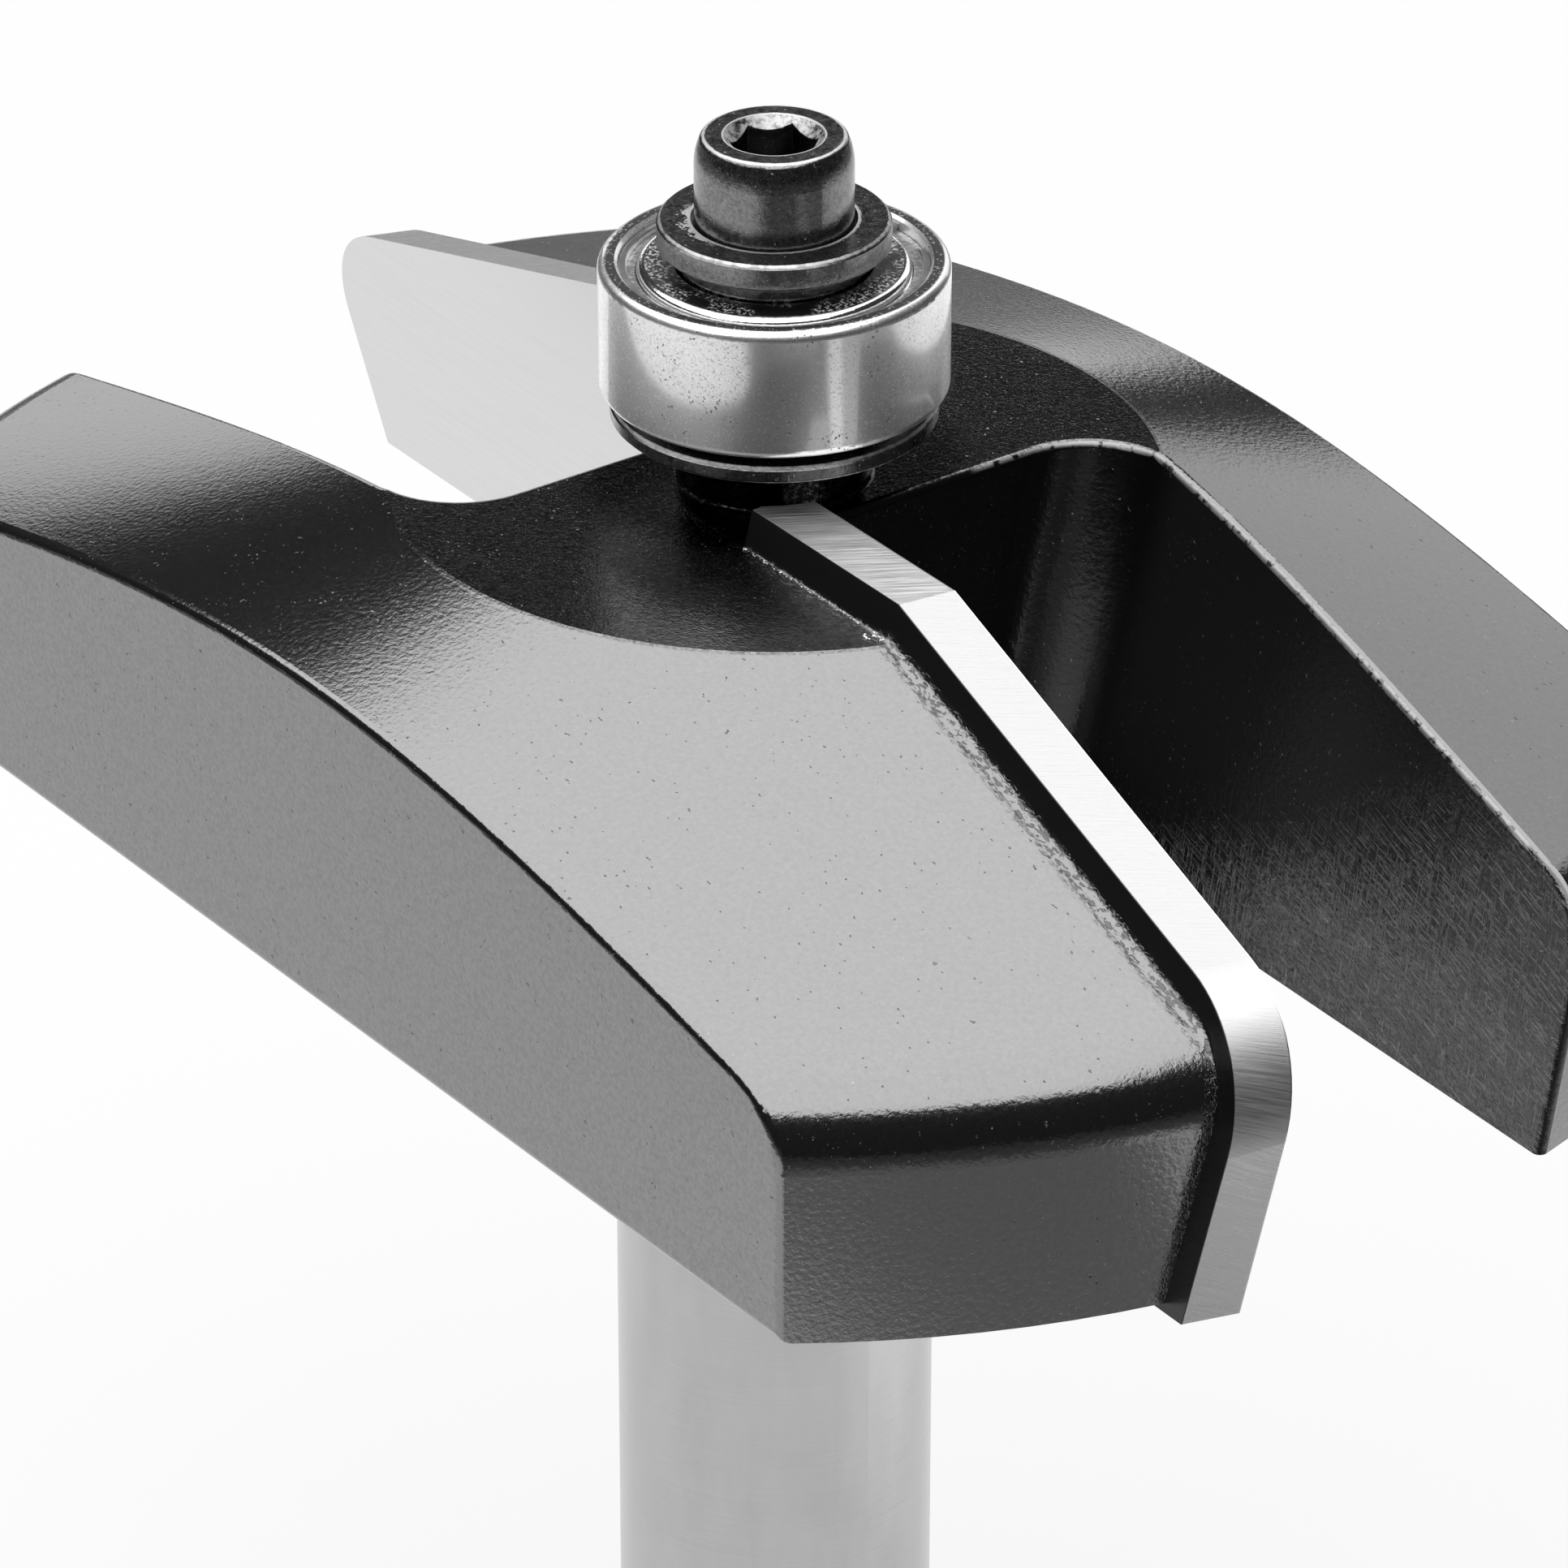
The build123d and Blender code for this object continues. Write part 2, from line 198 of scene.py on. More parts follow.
class Bench:
    """A material in the making. Its coordinates are the piece's own, in millimetres."""

    def __init__(self, name: str) -> None:
        """Start a material.

        Args:
            name: The material's name.
        """
        self.material = bpy.data.materials.new(name)
        self.material.use_nodes = True
        self.material.node_tree.nodes.clear()
        coordinates = self.node("ShaderNodeTexCoord")
        self.place = self.stretched(coordinates.outputs["Object"], (1000.0, 1000.0, 1000.0))
        split = self.node("ShaderNodeSeparateXYZ")
        self.material.node_tree.links.new(self.place, split.inputs[0])
        self.x, self.y, self.z = (Field(self, socket) for socket in split.outputs)
        self.radius = (self.x * self.x + self.y * self.y) ** 0.5
        geometry = self.node("ShaderNodeNewGeometry")
        faced = self.node("ShaderNodeSeparateXYZ")
        self.material.node_tree.links.new(geometry.outputs["Normal"], faced.inputs[0])
        self.upward = Field(self, faced.outputs[2])

    def node(self, kind: str, **settings: object) -> bpy.types.Node:
        """Add a node.

        Args:
            kind: The node's type name.
            settings: Its properties.

        Returns:
            The new node.
        """
        made = self.material.node_tree.nodes.new(kind)
        for name, value in settings.items():
            setattr(made, name, value)
        return made

    def feed(self, socket: bpy.types.NodeSocket, value: Number) -> None:
        """Set a socket to a number, or join it to a varying one."""
        if isinstance(value, Field):
            self.material.node_tree.links.new(value.socket, socket)
        else:
            socket.default_value = value

    def math(self, operation: str, *values: Number) -> Field:
        """Work out one operation.

        Args:
            operation: The Math node's operation.
            values: What it works on.

        Returns:
            The result.
        """
        made = self.node("ShaderNodeMath", operation=operation)
        for socket, value in zip(made.inputs, values):
            self.feed(socket, value)
        return Field(self, made.outputs[0])

    def stretched(self, vector: bpy.types.NodeSocket, factors: Sequence[float]) -> bpy.types.NodeSocket:
        """Multiply a vector by three factors."""
        made = self.node("ShaderNodeVectorMath", operation="MULTIPLY")
        self.material.node_tree.links.new(vector, made.inputs[0])
        made.inputs[1].default_value = factors
        return made.outputs[0]

    def vector(self, x: Number, y: Number, z: Number) -> bpy.types.NodeSocket:
        """A vector of three numbers."""
        made = self.node("ShaderNodeCombineXYZ")
        for socket, value in zip(made.inputs, (x, y, z)):
            self.feed(socket, value)
        return made.outputs[0]

    def noise(
        self,
        per_mm: float,
        detail: float = 2.0,
        roughness: float = 0.5,
        stretch: Sequence[float] = (1.0, 1.0, 1.0),
        place: bpy.types.NodeSocket | None = None,
    ) -> Field:
        """Soft random variation, about 0.5 on average.

        Args:
            per_mm: How many features fit in a millimetre.
            detail: How many finer layers are added.
            roughness: How strong the finer layers are.
            stretch: Factors on the coordinates, small along the direction of a streak.
            place: The coordinates to use instead of the piece's own.

        Returns:
            The variation.
        """
        made = self.node("ShaderNodeTexNoise")
        vector = self.stretched(place or self.place, stretch)
        self.material.node_tree.links.new(vector, made.inputs["Vector"])
        made.inputs["Scale"].default_value = per_mm
        made.inputs["Detail"].default_value = detail
        made.inputs["Roughness"].default_value = roughness
        return Field(self, made.outputs["Fac"])

    def cells(self, per_mm: float) -> Field:
        """A random number for each of many small cells.

        Args:
            per_mm: How many cells fit in a millimetre.

        Returns:
            The number, from nought to one.
        """
        made = self.node("ShaderNodeTexVoronoi", feature="F1")
        self.material.node_tree.links.new(self.place, made.inputs["Vector"])
        made.inputs["Scale"].default_value = per_mm
        split = self.node("ShaderNodeSeparateColor")
        self.material.node_tree.links.new(made.outputs["Color"], split.inputs[0])
        return Field(self, split.outputs[0])

    def mix(self, share: Number, first: Number, second: Number) -> Field:
        """Blend two numbers by a share."""
        made = self.node("ShaderNodeMix", data_type="FLOAT")
        for index, value in enumerate((share, first, second)):
            target = made.inputs[0] if index == 0 else made.inputs[1 + index]
            self.feed(target, value)
        return Field(self, made.outputs[0])

    def bump(self, height: Field, depth: float) -> bpy.types.NodeSocket:
        """Bend the surface's normal.

        Args:
            height: The relief, from nought to one.
            depth: Its depth in millimetres.

        Returns:
            The bent normal.
        """
        made = self.node("ShaderNodeBump")
        made.inputs["Strength"].default_value = 1.0
        made.inputs["Distance"].default_value = depth * MM
        self.feed(made.inputs["Height"], height)
        return made.outputs["Normal"]

    def surface(
        self,
        colour: Number,
        roughness: Number,
        metallic: Number = 0.0,
        normal: bpy.types.NodeSocket | None = None,
        ior: float = 1.5,
        polish: Number | None = None,
    ) -> bpy.types.Material:
        """Finish the material.

        Args:
            colour: The grey of the base colour.
            roughness: The roughness.
            metallic: Nought for a coat, one for bare metal. Over a dark colour it dims the gloss.
            normal: The bent normal.
            ior: The index of refraction.
            polish: How much of a sharp reflection lies over the first.

        Returns:
            The finished material.
        """
        shader = self.node("ShaderNodeBsdfPrincipled")
        if isinstance(colour, Field):
            self.feed(shader.inputs["Base Color"], colour)
        else:
            shader.inputs["Base Color"].default_value = (colour, colour, colour, 1.0)
        self.feed(shader.inputs["Roughness"], roughness)
        self.feed(shader.inputs["Metallic"], metallic)
        shader.inputs["IOR"].default_value = ior
        if polish is not None:
            self.feed(shader.inputs["Coat Weight"], polish)
            shader.inputs["Coat Roughness"].default_value = POLISH_ROUGHNESS
            shader.inputs["Coat IOR"].default_value = POLISH_IOR
        if normal is not None:
            self.material.node_tree.links.new(normal, shader.inputs["Normal"])
        output = self.node("ShaderNodeOutputMaterial")
        self.material.node_tree.links.new(shader.outputs["BSDF"], output.inputs["Surface"])
        return self.material


# Finishes


class HeadZones:
    """Where a point lies on the head: folded places in millimetres, and zones from nought to one."""

    def __init__(self, bench: Bench) -> None:
        """Work the zones out on a bench."""
        shape, up = SHAPE, bench.upward
        self.along, self.across = abs(bench.x), bench.y * bench.x.sign()
        wall = self.across - (shape.wall_y - shape.head_top * shape.lean_slope)
        wall = wall + self.along * shape.wall_slope - bench.z * shape.lean_slope
        start = shape.gullet_start
        self.wall = wall.near(0.0, 0.12) * self.along.ramp(start - 0.2, start + 0.2)
        self.side = abs(bench.y).ramp(shape.half_width - 0.05, shape.half_width - 0.01)
        self.top = bench.z.ramp(shape.head_top - 0.06, shape.head_top - 0.03)
        self.gullet = wall.ramp(0.2, 0.1) * self.across.ramp(shape.tip_face_y, shape.tip_face_y + 0.2)
        self.gullet = self.gullet * self.along.ramp(start - 0.3, start - 0.1) * up.ramp(0.9, 0.8)
        self.gullet_rim = up.ramp(0.35, 0.5) * up.ramp(0.92, 0.86) * bench.radius.ramp(7.0, 7.4)
        self.gullet_rim = self.gullet_rim * abs(bench.y).ramp(20.3, 20.1) * bench.radius.ramp(32.2, 31.8)
        # Around the neck, under the lower washer, where the coat gets painted shade.
        self.neck_shade = bench.radius.ramp(8.0, 5.5) * bench.z.ramp(54.0, 54.5)
        foot = shape.tip_face_y - shape.foot_width() - self.along * math.tan(shape.tip_yaw)
        self.behind_foot = foot + (bench.z - shape.head_top) * shape.lean_slope - self.across


@dataclass(frozen=True)
class CoatedHead:
    """Satin black coat on the head, with the shank ground bare below it.

    The coat's gloss is dimmed by a share of metal, since its base is nearly black. In the gullets and around
    the neck it is dimmed further, as painted shade.
    """

    coat_grey: float = 0.006
    coat_roughness: float = 0.15
    coat_ior: float = 2.62
    coat_dimmed: float = 0.09
    gullet_shade_dimmed: float = 0.66
    gullet_grey: float = 0.028
    worn_grey: float = 0.42
    peel_per_mm: float = 5.0
    peel_depth: float = 0.010
    coat_end: float = SHAPE.shank_length - 0.65
    shank_grey: float = 0.42
    shank_roughness: float = 0.30

    def make(self) -> bpy.types.Material:
        """Build the material."""
        bench = Bench("coated_head")
        zones = HeadZones(bench)
        peel = bench.noise(self.peel_per_mm, 2.0, 0.5)
        grain = bench.noise(11.0, 2.0, 0.6)
        cloud = bench.noise(5.0, 4.0, 0.75)
        hatch = self.hatch(bench, zones, cloud)
        bright = self.worn(bench, zones)
        pits = bench.noise(3.9, 1.0, 0.4, (1.0, 1.6, 1.0)).ramp(0.755, 0.79) * (1.0 - zones.top)
        marks = pits.larger(self.ragged_foot(bench, zones))

        coat = bench.mix(grain, self.coat_grey * 0.6, self.coat_grey * 1.4) + hatch * 0.05
        coat = bench.mix(zones.gullet, coat, self.gullet_grey + hatch * 0.05)
        coat = bench.mix(bright * 0.8, coat, self.worn_grey)
        coat_rough = self.coat_roughness + (peel - 0.5) * 0.06 + bright * 0.35
        dimmed = self.coat_dimmed + (0.5 - cloud) * (0.35 + zones.side * 0.5) + marks * 0.38
        # Painted shade: the coat's gloss is dimmed around the neck, in the corner under the lower washer.
        dimmed = dimmed + zones.neck_shade * 0.7
        dimmed = dimmed + zones.top * (bench.noise(6.0, 3.0, 0.7) - 0.38) * 1.9
        # Painted shade: in the gullet the coat's gloss is dimmed, more so towards its inner end.
        dimmed = bench.mix(zones.gullet, dimmed, self.gullet_shade_dimmed + zones.along.ramp(9.0, 7.0) * 0.2)

        rings = bench.noise(9.0, 3.0, 0.6, (0.02, 0.02, 1.0))
        smear = bench.noise(0.5, 3.0, 0.6, (1.0, 1.0, 0.35))
        bare = self.shank_grey * (0.86 + rings * 0.2) * (0.85 + smear * 0.3)
        bare_rough = self.shank_roughness + (rings - 0.5) * 0.16 + (smear - 0.5) * 0.1
        ragged = bench.noise(1.3, 4.0, 0.6) * 1.6 - 0.8
        on_shank = (bench.z + ragged * 0.45).ramp(self.coat_end, self.coat_end - 0.15)

        feed_lines = bench.noise(5.0, 2.0, 0.55, (0.02, 1.0, 1.0)) * zones.side
        relief = peel + grain * (0.22 + zones.top * 0.8) + feed_lines * 0.8 + hatch * 1.3 - marks * 1.5
        return bench.surface(
            bench.mix(on_shank, coat, bare),
            bench.mix(on_shank, coat_rough, bare_rough),
            bench.mix(bright, bench.mix(on_shank, dimmed, 1.0), 1.0),
            bench.bump(bench.mix(on_shank, relief, rings * 0.4), self.peel_depth),
            self.coat_ior,
        )

    @staticmethod
    def hatch(bench: Bench, zones: HeadZones, cloud: Field) -> Field:
        """The crossing scratches low on the gullet's wall.

        Args:
            bench: The material's bench.
            zones: The head's zones.
            cloud: Soft variation that breaks the hatching's upper end.

        Returns:
            The scratches, from nought to one.
        """
        rough_end = (zones.along * 0.5 - bench.z + cloud * 3.0).ramp(-37.5, -31.0)
        hatch: Field | None = None
        for lean, stretch in ((0.10, (1.0, 1.0, 0.08)), (-0.30, (0.07, 1.0, 1.0))):
            turned = bench.vector(zones.along + bench.z * lean, 0.0, bench.z - zones.along * lean)
            lines = bench.noise(9.0, 2.0, 0.6, stretch, turned).ramp(0.50, 0.64)
            hatch = lines if hatch is None else hatch.larger(lines)
        return hatch * zones.wall * rough_end

    @staticmethod
    def worn(bench: Bench, zones: HeadZones) -> Field:
        """The bare specks, the glitter on the flat and the worn line along the gullet's rim.

        Args:
            bench: The material's bench.
            zones: The head's zones.

        Returns:
            How worn the coat is, from nought to one.
        """
        specks = bench.noise(7.5, 1.0, 0.4).ramp(0.72, 0.79) * bench.noise(0.5, 2.0).ramp(0.42, 0.62)
        rim = zones.gullet_rim * bench.noise(2.5, 3.0, 0.6).ramp(0.36, 0.48)
        glitter = bench.noise(13.0, 3.0, 0.7).ramp(0.60, 0.70) * zones.top
        return specks.larger(rim * 0.8).larger(glitter * 0.3)

    @staticmethod
    def ragged_foot(bench: Bench, zones: HeadZones) -> Field:
        """The rough spots in the coat beside the run of braze.

        Args:
            bench: The material's bench.
            zones: The head's zones.

        Returns:
            The spots, from nought to one.
        """
        ragged = bench.noise(4.5, 3.0, 0.65, (0.6, 1.4, 1.0)).ramp(0.50, 0.60)
        return ragged * zones.behind_foot.ramp(0.75, 0.15) * zones.behind_foot.ramp(-0.02, 0.0)


@dataclass(frozen=True)
class GroundCarbide:
    """Tungsten carbide ground on its face and edges, with the coat left on its back."""

    face_grey: float = 0.55
    land_grey: float = 0.39
    back_grey: float = 0.006
    face_roughness: float = 0.24
    land_roughness: float = 0.30
    back_roughness: float = 0.25
    back_ior: float = 1.5

    def make(self) -> bpy.types.Material:
        """Build the material."""
        bench = Bench("ground_carbide")
        fold = bench.x.sign()
        along, across = abs(bench.x), bench.y * fold
        back = SHAPE.backwards()
        depth = along * back.x + (across - SHAPE.tip_face_y) * back.y + (bench.z - SHAPE.head_top) * back.z
        coated = depth.ramp(SHAPE.tip_thickness - 0.06, SHAPE.tip_thickness - 0.02)
        on_land = depth.ramp(0.01, 0.05)
        on_flat = bench.upward.ramp(0.975, 0.99) * on_land
        on_arc = bench.upward.ramp(0.02, 0.2) * bench.upward.ramp(0.95, 0.85) * on_land
        on_end = bench.upward.ramp(0.2, 0.02) * on_land
        run = along - bench.z + depth * 0.7
        wheel = bench.noise(12.0, 3.0, 0.6, (1.0, 0.04, 0.0), bench.vector(run, depth, 0.0))
        streak = bench.noise(4.0, 3.0, 0.6, (0.06, 1.0, 1.0))
        face = self.face_grey * (0.9 + streak * 0.2)
        grey = bench.mix(on_land, face, self.land_grey * (0.78 + wheel * 0.42))
        face_rough = self.face_roughness + (streak - 0.5) * 0.2
        rough = bench.mix(on_land, face_rough, self.land_roughness + (wheel - 0.5) * 0.4)
        rough = rough + on_flat * 0.15 + on_arc * 0.16
        # Painted light: the land's arc is made lighter, and its end a little lighter too; the stronger wheel
        # marks on the flat are its grinding.
        grey = grey * (1.0 + on_flat * wheel * 1.5 + on_arc * 0.6 + on_end * 0.35)
        relief = bench.mix(on_land, streak * 0.3, wheel)
        normal = bench.bump(relief * (1.0 - coated) + bench.noise(2.5, 3.0, 0.6) * coated, 0.006)
        return bench.surface(
            bench.mix(coated, grey, self.back_grey),
            bench.mix(coated, rough, self.back_roughness),
            1.0 - coated,
            normal,
            self.back_ior,
        )


@dataclass(frozen=True)
class RunBraze:
    """Braze that ran out along a joint and was coated with the head, with bare lumps on it."""

    name: str
    bare: bool
    bare_grey: float = 0.72
    coat_grey: float = 0.006
    bare_roughness: float = 0.35
    roughness: float = 0.15
    relief_depth: float = 0.02
    ior: float = 2.5

    def make(self) -> bpy.types.Material:
        """Build the material."""
        bench = Bench(self.name)
        lumps = bench.noise(6.0, 3.0, 0.65, (0.7, 1.3, 1.0))
        if self.bare:
            grey = self.bare_grey * lumps.ramp(0.3, 0.5, 0.5, 1.0)
            return bench.surface(grey, self.bare_roughness, 1.0, bench.bump(lumps, self.relief_depth))
        marks = bench.noise(4.5, 3.0, 0.65, (0.6, 1.4, 1.0)).ramp(0.50, 0.60)
        relief = bench.bump(lumps - marks * 0.6, self.relief_depth)
        return bench.surface(self.coat_grey, self.roughness, marks * 0.5, relief, self.ior)


@dataclass(frozen=True)
class WornOxide:
    """Glossy black oxide, rubbed bright on its edges and chipped in places, with painted shade deep in a
    socket.
    """

    name: str
    edges: tuple[tuple[float, float, float], ...]
    chips: tuple[float, float, float, float] | None = None
    socket: tuple[float, float] | None = None
    grey: float = 0.012
    worn_grey: float = 0.62
    hollow_shade_dimmed: float = 0.85
    roughness: float = 0.2
    relief_depth: float = 0.016
    ior: float = 2.85

    def make(self) -> bpy.types.Material:
        """Build the material."""
        bench = Bench(self.name)
        rub = bench.noise(3.0, 4.0, 0.65)
        fine = bench.noise(16.0, 2.0, 0.6)
        mottle = bench.noise(6.0, 4.0, 0.75)
        worn: Number = 0.0
        for radius, height, width in self.edges:
            gap = ((bench.radius - radius) ** 2.0 + (bench.z - height) ** 2.0) ** 0.5
            line = (gap + (rub - 0.5) * width * 1.6).ramp(width, width * 0.45)
            worn = line if isinstance(worn, float) else worn.larger(line)
        if self.chips is not None:
            azimuth, radius, height, width = self.chips
            turn = math.radians(azimuth)
            beside = (bench.x * math.cos(turn) + bench.y * math.sin(turn)) / bench.radius
            flakes = bench.noise(3.5, 4.0, 0.7) + (bench.radius - radius).ramp(0.0, width, 0.14, -0.12)
            flakes = flakes.ramp(0.54, 0.58) * bench.z.ramp(height - 0.12, height - 0.05)
            outside = bench.radius.ramp(radius - 0.1, radius - 0.02)
            worn = worn.larger(flakes * beside.ramp(0.80, 0.92) * outside)
        dimmed = 0.28 + (0.5 - mottle) * 1.9
        if self.socket is not None:
            mouth, top = self.socket
            cone = (bench.z - bench.radius - (top - mouth)).near(0.0, 0.06) * bench.radius.ramp(1.36, 1.40)
            worn = worn.larger(cone * bench.radius.ramp(mouth + 0.02, mouth) * rub.ramp(0.38, 0.60) * 0.85)
            # Painted shade: deep in the socket the gloss is dimmed, so the hollow stays dark.
            inside = bench.radius.ramp(1.62, 1.58) * bench.z.ramp(top - 0.2, top - 0.5)
            dimmed = bench.mix(inside * (1.0 - cone), dimmed, self.hollow_shade_dimmed)
        specks = bench.noise(8.0, 1.0, 0.4).ramp(0.72, 0.78)
        bright = worn.larger(specks * 0.7)
        dust = fine.ramp(0.46, 0.66) * bench.noise(1.2, 3.0, 0.6).ramp(0.35, 0.6)
        grey = bench.mix(bright, self.grey * (0.6 + fine * 0.8) + dust * 0.05, self.worn_grey)
        rough = self.roughness + (rub - 0.5) * 0.36 + bright * 0.34
        relief = bench.bump(rub * 0.7 + fine * 0.3, self.relief_depth)
        return bench.surface(grey, rough, bench.mix(bright, dimmed, 1.0), relief, self.ior)


@dataclass(frozen=True)
class RingSteel:
    """Ground bearing steel with pits and rubbed patches, with painted shade on its end faces."""

    grey: float = 0.88
    pit_and_shade_grey: float = 0.08
    glint_grey: float = 0.5
    roughness: float = 0.42
    relief_depth: float = 0.0042
    face_start: float = 5.7
    top: float = 63.398
    bottom: float = 58.42

    def make(self) -> bpy.types.Material:
        """Build the material."""
        bench = Bench("ring_steel")
        middle, half = (self.top + self.bottom) / 2, (self.top - self.bottom) / 2
        end = abs(bench.z - middle).ramp(half - 0.03, half - 0.005)
        face = end * bench.radius.ramp(self.face_start - 0.02, self.face_start + 0.02)
        patch = bench.noise(0.55, 3.0, 0.6)
        cell = bench.cells(15.0)
        pits = cell.ramp(0.05, 0.03) * patch.ramp(0.45, 0.60)
        glints = cell.ramp(0.88, 0.92)
        lines = bench.noise(12.0, 3.0, 0.6, (0.03, 0.03, 1.0))
        grain = bench.noise(18.0, 2.0, 0.6)
        grey = self.grey * (0.86 + lines * 0.12 + grain * 0.16)
        grey = bench.mix(pits * 0.85, grey, self.pit_and_shade_grey)
        # Painted shade: the end faces take the dark pit grey, with lighter specks in it.
        grey = bench.mix(face, grey, bench.mix(glints, self.pit_and_shade_grey, self.glint_grey))
        rough = self.roughness + (patch - 0.5) * 0.2
        polish = (1.0 - pits) * (1.0 - glints * 0.8) * (1.0 - face * 0.8) * grain.ramp(0.30, 0.52, 0.35, 1.0)
        normal = bench.bump(lines * 0.25 + grain * 1.3, self.relief_depth)
        return bench.surface(grey, rough, 1.0, normal, polish=polish)


@dataclass(frozen=True)
class ShieldSteel:
    """Pressed sheet: bright on its crown; on the plate it is painted dark as painted shade, mottled with
    rubbed patches and rougher.
    """

    crown_grey: float = 0.90
    crown_roughness: float = 0.14
    plate_radius: float = 4.60
    flange_radius: float = 4.97

    def make(self) -> bpy.types.Material:
        """Build the material."""
        bench = Bench("shield_steel")
        plate = bench.radius.ramp(self.plate_radius + 0.1, self.plate_radius - 0.05)
        flange = bench.radius.ramp(self.flange_radius, self.flange_radius + 0.04)
        mottle = bench.noise(7.0, 3.0, 0.65)
        patch = bench.noise(0.7, 2.0, 0.5)
        rubbed = mottle.ramp(0.48, 0.60) * patch.ramp(0.42, 0.54)
        # Painted shade: the plate's grey is dark, lightened in rubbed patches.
        grey = bench.mix(plate, self.crown_grey, bench.mix(rubbed, 0.14, 0.65))
        grey = bench.mix(flange, grey, bench.mix(bench.noise(6.0, 2.0).ramp(0.4, 0.6), 0.5, 0.85))
        rough = self.crown_roughness + plate * (0.16 + rubbed * 0.45) + flange * 0.2
        return bench.surface(grey, rough, 1.0, bench.bump(mottle, 0.006))


@dataclass(frozen=True)
class PlainSteel:
    """Drawn or ground steel for the small and hidden pieces."""

    name: str
    grey: float = 0.62
    roughness: float = 0.25

    def make(self) -> bpy.types.Material:
        """Build the material."""
        bench = Bench(self.name)
        drawn = bench.noise(10.0, 3.0, 0.6, (0.2, 0.2, 1.0))
        grey = self.grey * (0.85 + drawn * 0.3)
        return bench.surface(grey, self.roughness + (drawn - 0.5) * 0.15, 1.0, bench.bump(drawn, 0.003))


@dataclass(frozen=True)
class CagePolymer:
    """The pale moulded polymer of the hidden cage."""

    grey: float = 0.6

    def make(self) -> bpy.types.Material:
        """Build the material."""
        bench = Bench("cage_polymer")
        cloud = bench.noise(2.0, 3.0, 0.6)
        return bench.surface(self.grey * (0.9 + cloud * 0.2), 0.5, 0.0, bench.bump(cloud, 0.01))


def dress(material: bpy.types.Material, *names: str) -> None:
    """Give CAD nodes a finish.

    Args:
        material: The finish.
        names: The nodes.
    """
    for name in names:
        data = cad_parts[name].data
        data.materials.clear()
        data.materials.append(material)
        log.info("dressed %s in %s", name, material.name)


# The bit's sub-assemblies


class Wing(Enum):
    """The two wings, by how far each is turned from the +X one."""

    FIRST = 0.0
    SECOND = math.pi


@dataclass(frozen=True)
class LumpRun:
    """Bare lumps scattered along a stretch of the joint, in millimetres."""

    middle: float
    spread: float
    reach: tuple[float, float]
    size: float
    count: int

    def places(self, rng: random.Random) -> list[tuple[float, float, float]]:
        """Scatter the lumps.

        Args:
            rng: The source of chance.

        Returns:
            For each lump how far along it lies, how far behind the foot, and its radius.
        """
        return [
            (
                self.middle + rng.uniform(-self.spread, self.spread),
                rng.uniform(*self.reach),
                self.size * rng.uniform(0.5, 1.1),
            )
            for _ in range(self.count)
        ]


